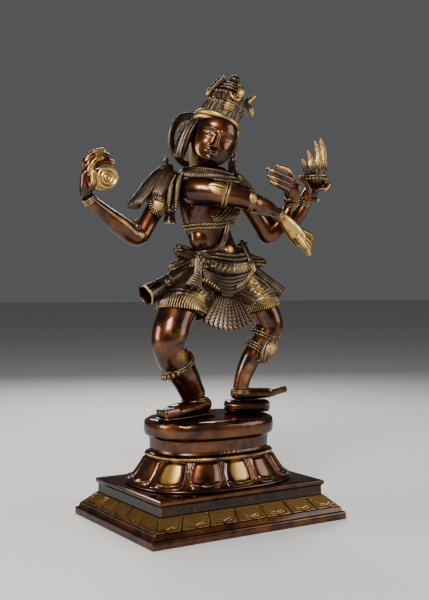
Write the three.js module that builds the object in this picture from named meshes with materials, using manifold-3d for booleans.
// A cast and brazed brass figure of a four-armed dancer, standing on an oval drum, a lotus tier and a
// stepped rectangular plinth. The three base castings are hollow and are clamped together by one stud.
// Millimetres, +Z up, the figure faces -Y. The origin is the middle of the base's footprint, on its rim.
import * as THREE from 'three';
import { mergeVertices } from 'three/addons/utils/BufferGeometryUtils.js';
import Module from 'manifold-3d';

const GAP = 0.3; // clearance between neighbouring castings
const WALL = 5; // wall of the hollow base castings
const SIDES = 12; // sides of a limb's section

// Base: half length, half depth and the levels of its castings.
const PLINTH = { x: 94, y: 71, slab: 7, mouldTop: 20, top: 33, step: 4.5, inset: 14, lip: 4 };
const LOTUS = { bottom: PLINTH.top + GAP, top: 60, x: 73, y: 54, neckX: 52, neckY: 37 };
const DRUM = { bottom: LOTUS.top + GAP, top: 88, x: 57, y: 42 };
const STUD = { radius: 4, top: 82, bottom: 10, nutAcross: 13, nutHeight: 6.5, washerRadius: 9, washer: 1.6 };

const FOOT_LEVEL = DRUM.top + GAP;

const wasm = await Module();
wasm.setup();

const group = new THREE.Group();
const brass = {
  brown: new THREE.MeshStandardMaterial({ color: 0x5a2c14, roughness: 0.28, metalness: 0.9 }),
  antique: new THREE.MeshStandardMaterial({ color: 0x5a4836, roughness: 0.45, metalness: 0.9 }),
  polished: new THREE.MeshStandardMaterial({ color: 0xc29a4a, roughness: 0.3, metalness: 1 }),
  steel: new THREE.MeshStandardMaterial({ color: 0x8f9194, roughness: 0.4, metalness: 1 }),
};

// ---- Geometry helpers ----

/** A closed manifold-3d solid from a three.js geometry. */
function solid(geometry) {
  const bare = geometry.clone();
  bare.deleteAttribute('normal');
  bare.deleteAttribute('uv');
  const merged = mergeVertices(bare, 1e-4);
  return new wasm.Manifold(
    new wasm.Mesh({
      numProp: 3,
      vertProperties: new Float32Array(merged.attributes.position.array),
      triVerts: new Uint32Array(merged.index.array),
    }),
  );
}

/** The three.js geometry of a manifold-3d solid. */
function geometryOf(body) {
  const mesh = body.getMesh();
  const points = new Float32Array(mesh.numVert * 3);
  for (let i = 0; i < mesh.numVert; i++) {
    points.set(mesh.vertProperties.subarray(i * mesh.numProp, i * mesh.numProp + 3), i * 3);
  }
  const geometry = new THREE.BufferGeometry();
  geometry.setAttribute('position', new THREE.BufferAttribute(points, 3));
  geometry.setIndex(new THREE.BufferAttribute(new Uint32Array(mesh.triVerts), 1));
  geometry.computeVertexNormals();
  return geometry;
}

/** A closed skin over equal rings of points, listed from the lowest ring up, with a fan on each end. */
function loft(rings) {
  const sides = rings[0].length;
  const middle = (ring) => ring.reduce((sum, p) => sum.clone().add(p), new THREE.Vector3()).divideScalar(sides);
  const points = [...rings.flat(), middle(rings[0]), middle(rings[rings.length - 1])];
  const last = (rings.length - 1) * sides;
  const index = [];
  for (let k = 0; k < sides; k++) {
    const next = (k + 1) % sides;
    index.push(points.length - 2, next, k);
    index.push(points.length - 1, last + k, last + next);
    for (let i = 0; i < last; i += sides) {
      index.push(i + k, i + next, i + sides + next);
      index.push(i + k, i + sides + next, i + sides + k);
    }
  }
  const geometry = new THREE.BufferGeometry().setFromPoints(points);
  geometry.setIndex(index);
  return geometry;
}

/**
 * A limb: elliptical sections square to a path. Each station is [x, y, z, rx, ry], where rx lies across
 * the path in the frontal plane and ry is towards the front; ry is rx where it is left out.
 */
function limb(stations, grow = 0, sides = SIDES) {
  const path = stations.map(([x, y, z]) => new THREE.Vector3(x, y, z));
  const along = path.map((p, i) => {
    const ahead = path[Math.min(i + 1, path.length - 1)];
    const behind = path[Math.max(i - 1, 0)];
    return ahead.clone().sub(behind).normalize();
  });
  path[0].addScaledVector(along[0], -grow);
  path[path.length - 1].addScaledVector(along[path.length - 1], grow);
  const rings = path.map((p, i) => {
    const front = new THREE.Vector3(0, 1, 0);
    if (Math.abs(along[i].y) > 0.9) front.set(0, 0, -1);
    const across = front.clone().cross(along[i]).normalize();
    const deep = along[i].clone().cross(across);
    const [, , , rx, ry = rx] = stations[i];
    return Array.from({ length: sides }, (_, k) => {
      const turn = (2 * Math.PI * k) / sides;
      return p
        .clone()
        .addScaledVector(across, (rx + grow) * Math.cos(turn))
        .addScaledVector(deep, (ry + grow) * Math.sin(turn));
    });
  });
  return loft(rings);
}

/** Rectangular tiers: each level is [z, half length, half depth]. */
function tiers(levels) {
  return loft(
    levels.map(([z, x, y]) => [
      new THREE.Vector3(-x, -y, z),
      new THREE.Vector3(x, -y, z),
      new THREE.Vector3(x, y, z),
      new THREE.Vector3(-x, y, z),
    ]),
  );
}

/** Oval tiers, squarer than an ellipse: each level is [z, half length, half depth]. */
function ovals(levels, sides = 32, squareness = 0.8) {
  const bend = (value) => Math.sign(value) * Math.abs(value) ** squareness;
  return loft(
    levels.map(([z, x, y]) =>
      Array.from({ length: sides }, (_, k) => {
        const turn = (2 * Math.PI * k) / sides;
        return new THREE.Vector3(x * bend(Math.cos(turn)), y * bend(Math.sin(turn)), z);
      }),
    ),
  );
}

/** A round ring or hoop at a centre, square to an axis. */
function hoop(centre, axis, radius, wire, grow = 0, sides = 16) {
  const section = Array.from({ length: 9 }, (_, k) => {
    const turn = (2 * Math.PI * k) / 8;
    return new THREE.Vector2(radius + (wire + grow) * Math.cos(turn), (wire + grow) * Math.sin(turn));
  });
  section[8].copy(section[0]);
  return placed(new THREE.LatheGeometry(section, sides), centre, axis);
}

/** A geometry made around +Y, turned to an axis and moved to a centre. */
function placed(geometry, centre, axis) {
  const turn = new THREE.Quaternion().setFromUnitVectors(
    new THREE.Vector3(0, 1, 0),
    new THREE.Vector3(...axis).normalize(),
  );
  return geometry.applyQuaternion(turn).translate(...centre);
}

/** An upright cylinder between two levels on the stud's axis. */
function round(radius, bottom, top, sides = 20) {
  const geometry = new THREE.CylinderGeometry(radius, radius, top - bottom, sides);
  return placed(geometry, [0, 0, (top + bottom) / 2], [0, 0, 1]);
}

// ---- Placing ----

const cutters = []; // each finished piece, grown by GAP, with its box

const touch = (a, b) => [0, 1, 2].every((i) => a.min[i] <= b.max[i] && b.min[i] <= a.max[i]);

/** The largest body of a solid, which drops slivers that a cut leaves. */
function largest(body) {
  return body.decompose().reduce((a, b) => (a.volume() > b.volume() ? a : b));
}

/** Adds a piece made by shape(grow), cut back from every piece that is already there. */
function add(name, material, shape) {
  let body = solid(shape(0));
  const box = body.boundingBox();
  for (const cutter of cutters) {
    if (touch(box, cutter.box)) body = body.subtract(cutter.body);
  }
  addSolid(name, material, largest(body), solid(shape(GAP)));
}

/** Adds a finished solid, with the grown one that later pieces are cut by. */
function addSolid(name, material, body, grown) {
  cutters.push({ body: grown, box: grown.boundingBox() });
  const mesh = new THREE.Mesh(geometryOf(body), brass[material]);
  mesh.name = name;
  group.add(mesh);
}

// ---- Base: plinth, lotus tier, oval drum and the stud that holds them ----

function plinth() {
  const { x, y, slab, mouldTop, top, step, inset, lip } = PLINTH;
  const outside = tiers([
    [0, x, y],
    [slab, x, y],
    [slab, x - 3, y - 3],
    [slab + 4, x - step, y - step],
    [mouldTop, x - inset, y - inset],
    [top - lip, x - inset - 0.5, y - inset - 0.5],
    [top - lip + 0.5, x - inset, y - inset],
    [top, x - inset + 0.5, y - inset + 0.5],
  ]);
  const cavity = tiers([
    [-1, x - WALL, y - WALL],
    [slab - 1, x - WALL, y - WALL],
    [mouldTop - 2, x - inset - WALL, y - inset - WALL],
    [top - WALL, x - inset - WALL, y - inset - WALL],
  ]);
  return solid(outside).subtract(solid(cavity)).subtract(solid(round(STUD.radius + GAP, 0, top + 1)));
}

function lotusTier() {
  const { bottom, top, x, y, neckX, neckY } = LOTUS;
  const outside = ovals([
    [bottom, x - 1, y - 1],
    [bottom + 3, x, y],
    [bottom + 12, x - 8, y - 7],
    [top - 5, neckX + 3, neckY + 3],
    [top - 3, neckX + 4, neckY + 4],
    [top, neckX + 3, neckY + 3],
  ]);
  const cavity = ovals([
    [bottom - 1, x - WALL - 5, y - WALL - 5],
    [bottom + 3, x - WALL - 5, y - WALL - 5],
    [top - 8, neckX - WALL, neckY - WALL],
    [top + 1, neckX - WALL, neckY - WALL],
  ]);
  return solid(outside).subtract(solid(cavity));
}

function ovalDrum() {
  const { bottom, top, x, y } = DRUM;
  const outside = ovals([
    [bottom, LOTUS.neckX, LOTUS.neckY],
    [bottom + 9, LOTUS.neckX + 1, LOTUS.neckY + 1],
    [bottom + 13, x - 2, y - 2],
    [bottom + 18, x, y],
    [top - 4, x, y],
    [top, x - 2.5, y - 2.5],
  ]);
  const cavity = ovals([
    [bottom - 1, LOTUS.neckX - WALL, LOTUS.neckY - WALL],
    [top - WALL, LOTUS.neckX - WALL, LOTUS.neckY - WALL],
  ]);
  const boss = solid(round(STUD.radius + 4, top - WALL - 6, top - 1));
  const hole = solid(round(STUD.radius + GAP, bottom, STUD.top + GAP));
  return solid(outside).subtract(solid(cavity)).add(boss).subtract(hole);
}

addSolid('plinth', 'brown', plinth(), solid(round(1, 0, 1)));
addSolid('lotus_tier', 'brown', lotusTier(), solid(round(1, 0, 1)));
addSolid('oval_drum', 'brown', ovalDrum(), solid(round(60, DRUM.bottom, FOOT_LEVEL)));

const underPlate = PLINTH.top - WALL - GAP;
const washerBottom = underPlate - STUD.washer;
const nutTop = washerBottom - GAP;
const bored = (shape, radius) => solid(shape).subtract(solid(round(radius + GAP, -1, DRUM.top)));

addSolid(
  'tie_stud',
  'steel',
  solid(round(STUD.radius, STUD.bottom, STUD.top - GAP, 16)),
  solid(round(1, 0, 1)),
);
addSolid(
  'tie_washer',
  'steel',
  bored(round(STUD.washerRadius, washerBottom, underPlate), STUD.radius),
  solid(round(1, 0, 1)),
);
addSolid(
  'tie_nut',
  'steel',
  bored(round(STUD.nutAcross / Math.sqrt(3), nutTop - STUD.nutHeight, nutTop, 6), STUD.radius),
  solid(round(1, 0, 1)),
);

// ---- Torso, hips and legs ----

add('torso', 'brown', (grow) =>
  limb(
    [
      [11, 1, 200, 20, 15],
      [11, 1, 210, 24, 17],
      [10, 1, 219, 23, 16.5],
      [6, 0, 229, 21.5, 16],
      [1, -1, 241, 20.5, 15],
      [-2, -1, 254, 22, 16],
      [-3, -1, 268, 25, 17],
      [-2, 0, 280, 28, 16],
      [-1, 0, 287, 24, 14],
      [-2, -1, 294, 14, 11.5],
      [-3, -3, 303, 9.5, 9.5],
      [-4, -4, 310, 9.5, 9.5],
    ],
    grow,
    16,
  ),
);
add('right_short', 'antique', (grow) =>
  limb([[2, -1, 207, 18, 17], [-13, -5, 198, 19.5, 18], [-26, -9, 189, 19.5, 18.5], [-32, -12, 180, 20, 19], [-33, -13, 176, 20, 19]], grow),
);
add('left_short', 'antique', (grow) =>
  limb([[18, -1, 207, 17, 16], [31, -5, 198, 17.5, 16.5], [43, -8, 190, 16.5, 16], [50, -10, 182, 15.5, 15.5], [52, -10, 178, 15.5, 15.5]], grow),
);
add('right_thigh', 'brown', (grow) =>
  limb([[-30, -10, 188, 15.5], [-39, -13, 177, 15.5], [-47, -16, 166, 14.8], [-51, -17, 154, 14]], grow),
);
add('left_thigh', 'brown', (grow) =>
  limb([[47, -9, 186, 13], [53, -11, 176, 12.8], [55, -12, 166, 12.2], [53, -12, 156, 10.6]], grow),
);
add('right_shin', 'brown', (grow) =>
  limb([[-51, -17, 156, 13.6], [-45, -14, 145, 13.2], [-31, -7, 127, 11.8], [-17, 0, 109, 10], [-14, 0, 101, 10.5]], grow),
);
add('left_shin', 'brown', (grow) =>
  limb([[53, -12, 158, 10.2], [44, -9, 145, 9.6], [36, -4, 127, 8], [33, 0, 112, 7], [33, 0, 106, 8]], grow),
);
add('foot_block', 'brown', (grow) =>
  limb([[15, 8, 93.4, 4.7, 7], [25, 3, 93.4, 4.9, 12], [47, -4, 93.4, 4.9, 12], [58, -8, 93.4, 4.7, 8]], grow),
);
add('right_foot', 'brown', (grow) =>
  limb([[6, 7, 96, 7, 8.5], [-4, 4, 97, 8, 9.5], [-26, -4, 95.4, 6.6, 10.2], [-46, -10, 94.2, 5.4, 10.5], [-58, -13, 93.6, 4.6, 8.5]], grow),
);
add('left_foot', 'brown', (grow) =>
  limb([[24, 5, 103.8, 5, 8], [36, 2, 104, 5.2, 9], [52, -5, 104, 4.6, 9.5], [64, -11, 105.6, 3.2, 9], [71.5, -14, 108, 2, 6]], grow),
);

// ---- Arms: two in front, two behind; right and left are the figure's own ----

add('front_right_upper_arm', 'brown', (grow) =>
  limb([[-30, -8, 281, 11], [-21, -15, 280, 12], [-8, -28, 277, 10], [6, -38, 273, 8], [17, -42, 270, 7]], grow),
);
add('front_right_forearm', 'brown', (grow) =>
  limb([[16, -42, 270, 7], [26, -38, 268, 7], [42, -31, 265, 6], [53, -26, 262, 5]], grow),
);
add('front_right_hand', 'polished', (grow) =>
  limb([[53, -26, 262, 5.5, 5], [62, -24, 254, 9, 4.5], [75, -23, 243, 9, 4.5], [84, -22, 234, 6, 4], [89, -22, 228, 3.5, 3]], grow),
);
add('front_left_upper_arm', 'brown', (grow) =>
  limb([[28, -1, 280, 10], [38, -1, 273, 9.5], [52, -1, 256, 8.5], [60, -2, 246, 8]], grow),
);
add('front_left_forearm', 'brown', (grow) =>
  limb([[59, -2, 243, 7.5], [66, -4, 250, 7.5], [74, -9, 262, 6], [78, -12, 271, 5]], grow),
);
add('front_left_hand', 'brown', (grow) =>
  limb([[78, -12, 272, 5, 4], [77, -14, 280, 9, 4.5], [72, -15, 289, 9.5, 4], [60, -16, 297, 9, 3.5], [50, -17, 303, 8, 3]], grow),
);
add('rear_right_upper_arm', 'brown', (grow) =>
  limb([[-30, 7, 280, 9], [-40, 6, 272, 8.5], [-52, 4, 256, 7.5], [-62, 2, 242, 7]], grow),
);
add('rear_right_forearm', 'brown', (grow) =>
  limb([[-63, 2, 239, 7], [-76, -1, 245, 7.5], [-98, -5, 256, 6.5], [-116, -8, 266, 5.5]], grow),
);
add('rear_right_hand', 'brown', (grow) =>
  limb([[-118, -8, 267, 5, 5], [-120, -8, 277, 6, 5.5], [-121, -9, 289, 5, 8], [-117, -10, 301, 3.6, 8], [-105, -12, 307, 3.2, 7]], grow),
);
add('rear_left_upper_arm', 'brown', (grow) =>
  limb([[32, 9, 280, 9], [46, 9, 272, 8.5], [66, 8, 260, 7.5], [84, 7, 254, 7]], grow),
);
add('rear_left_forearm', 'brown', (grow) =>
  limb([[85, 7, 254, 6.8], [91, 4, 258, 6.5], [97, -2, 267, 5.5], [100, -4, 274, 5]], grow),
);
add('rear_left_hand', 'brown', (grow) =>
  limb([[101, -4, 275, 5, 4.5], [104, -5, 282, 8, 6], [113, -6, 286, 7, 7], [123, -6, 291, 4, 6], [126, -6, 298, 2, 4]], grow),
);

// ---- Head, headdress and head wheel ----

add('head', 'brown', (grow) =>
  limb(
    [
      [-4, -13, 302, 6, 6],
      [-5, -11, 307, 13, 14],
      [-4, -10, 315, 17, 17.5],
      [-2, -9, 325, 18.5, 19.5],
      [0, -9, 336, 18.5, 19],
      [3, -10, 342, 15, 16],
    ],
    grow,
    16,
  ),
);
add('crown_band', 'polished', (grow) =>
  limb([[0, -9, 333, 20.5, 21], [2, -10, 339, 20, 20.5], [3, -10, 342, 18.5, 19]], grow, 16),
);
add('crown', 'antique', (grow) =>
  limb(
    [
      [2, -10, 338, 17.5, 18],
      [5, -11, 346, 16.5, 16.5],
      [10, -12, 358, 15, 15],
      [14, -13, 368, 11.5, 11.5],
      [17, -14, 374, 7, 7],
      [18.5, -14, 380, 4, 4],
    ],
    grow,
    16,
  ),
);
add('head_wheel_pin', 'antique', (grow) => limb([[-2, 4, 327, 2.5], [-5, 25, 327, 2.5]], grow, 10));
add('head_wheel', 'antique', (grow) => hoop([-5, 22, 327], [-0.12, 1, 0], 22, 3, grow, 24));
add('crescent', 'polished', (grow) =>
  limb([[19, -20, 355, 3.5, 3], [25, -21, 355, 5, 2.6], [30, -22, 354.5, 8, 2.2], [33, -22, 354, 8.5, 1.5]], grow, 10),
);
add('datura_flower', 'polished', (grow) => limb([[13, -26, 359, 4, 4], [14, -28, 364, 5, 4], [15, -26, 369, 3.5, 3]], grow, 8));
add('crown_serpent', 'polished', (grow) =>
  limb([[-6, -6, 360, 3, 3], [-3, -7, 365, 3.6, 3], [3, -8, 371, 3.6, 3], [9, -9, 376.5, 2.5, 2.5]], grow, 8),
);
add('right_hair_lock', 'antique', (grow) =>
  limb([[-19, -6, 338, 4, 5], [-25, -5, 328, 5, 6], [-29, -4, 316, 5, 6], [-31, -4, 305, 4, 5]], grow, 8),
);
add('left_hair_lock', 'antique', (grow) =>
  limb([[18, -3, 332, 3, 4], [21, -2, 320, 3.5, 4], [21, -1, 306, 3.5, 4], [23, 0, 296, 3.5, 4]], grow, 8),
);
add('hair_fall', 'antique', (grow) =>
  limb([[-3, 9, 296, 18, 5], [-3, 14, 306, 15, 5], [-2, 14, 316, 12, 5]], grow, 10),
);

// ---- Jewellery on the body ----

add('necklace', 'antique', (grow) =>
  limb([[-1, -3, 286, 23, 18.5], [-2, -3, 291, 20, 16.5], [-3, -3, 295, 15, 14.5]], grow, 16),
);
add('chest_band', 'antique', (grow) =>
  limb([[-1.5, -1, 250, 24, 18], [-2, -1, 256, 25, 18.8]], grow, 16),
);
add('front_right_armlet', 'polished', (grow) => hoop([-1, -33, 275.5], [0.75, -0.6, -0.2], 10.2, 2, grow));
add('front_right_elbow_band', 'antique', (grow) => hoop([19, -41, 269.5], [0.95, 0.3, -0.12], 8, 1.7, grow));
add('rear_right_elbow_band', 'antique', (grow) => hoop([-67, 1, 241], [0.85, 0.1, -0.5], 8.2, 1.8, grow));
add('right_knee_band', 'antique', (grow) => hoop([-34, -9, 131], [0.52, 0.25, -0.8], 13.2, 1.7, grow));
add('left_knee_band', 'antique', (grow) => hoop([44, -9, 145], [0.45, -0.2, 0.87], 10.8, 2.2, grow));
add('left_knee_bell', 'antique', (grow) =>
  limb([[46, -24, 135, 4, 3.5], [50, -24, 144, 5.5, 4.5], [55, -22, 153, 4.5, 4], [60, -20, 158, 3, 3]], grow, 8),
);

// ---- Waist cloth, sashes and ribbons ----

add('belt', 'antique', (grow) =>
  limb([[11, 1, 211, 30, 22.5], [10, 0, 219, 29, 22], [9, 0, 227, 27, 21]], grow, 16),
);
add('apron_fan', 'antique', (grow) =>
  limb([[6, -18, 206, 12, 6], [5, -22, 196, 11, 5.5], [3, -26, 182, 16, 4.5], [3, -28, 164, 21, 3.5]], grow),
);
add('right_sash_roll', 'antique', (grow) =>
  limb([[-18, 2, 213, 6], [-36, -3, 205, 6], [-52, -6, 198, 7], [-64, -8, 193, 8.5]], grow, 10),
);
add('left_sash_roll', 'antique', (grow) =>
  limb([[40, 0, 216, 6], [54, -1, 208, 6], [68, -2, 199, 7], [78, -2, 193, 7.5]], grow, 10),
);
add('right_sash_knot', 'antique', (grow) =>
  limb([[-16, 2, 222, 6], [-24, 2, 227, 5.5], [-29, 2, 231, 4.5]], grow, 8),
);
add('left_sash_knot', 'antique', (grow) =>
  limb([[37, 2, 224, 6], [50, 3, 223, 4.5], [62, 4, 221, 3.5]], grow, 8),
);
add('belt_ribbon', 'polished', (grow) =>
  limb([[-11, -22, 224, 5, 2.5], [-19, -24, 214, 3.5, 2.5], [-23, -26, 204, 4, 2.5], [-26, -28, 195, 7.5, 2]], grow, 8),
);

// ---- Shoulder drapery ----

add('right_shoulder_cape', 'antique', (grow) =>
  limb([[-33, 5, 293, 7, 13], [-43, 4, 283, 10, 13], [-54, 3, 270, 11, 12.5], [-62, 2, 259, 11, 11.5]], grow),
);
add('right_shoulder_sash', 'antique', (grow) =>
  limb([[-28, -8, 293, 4, 4], [-36, -13, 280, 5, 4.5], [-40, -13, 266, 5.5, 5], [-42, -12, 254, 6, 6]], grow, 8),
);
add('left_shoulder_cape', 'antique', (grow) =>
  limb([[27, 4, 292, 6, 11], [36, 4, 285, 9, 12], [47, 4, 272, 9.5, 12]], grow),
);

// ---- Held attributes ----

add('hand_drum', 'polished', (grow) =>
  limb(
    [
      [-107, -22, 284.2, 7.6, 7.6],
      [-106.7, -19.5, 284.2, 8.6, 8.6],
      [-106, -15, 284.4, 5, 5],
      [-105, -9, 284.6, 5, 5],
      [-104.3, -4.5, 284.8, 8.6, 8.6],
      [-104, -2, 284.8, 7.6, 7.6],
    ],
    grow,
    14,
  ),
);
add('flame_bowl', 'antique', (grow) =>
  limb([[111, -6, 292, 6, 6], [111, -6, 296, 11.5, 9.5], [111, -6, 300, 12, 10]], grow, 14),
);
add('flame', 'polished', (grow) =>
  limb([[111, -6, 299, 9, 4.5], [110.5, -6, 309, 13, 5], [112, -6, 320, 10.5, 4.5], [117, -6, 330, 4, 2.5], [118, -6, 337, 1.2, 1]], grow, 10),
);

export default group;
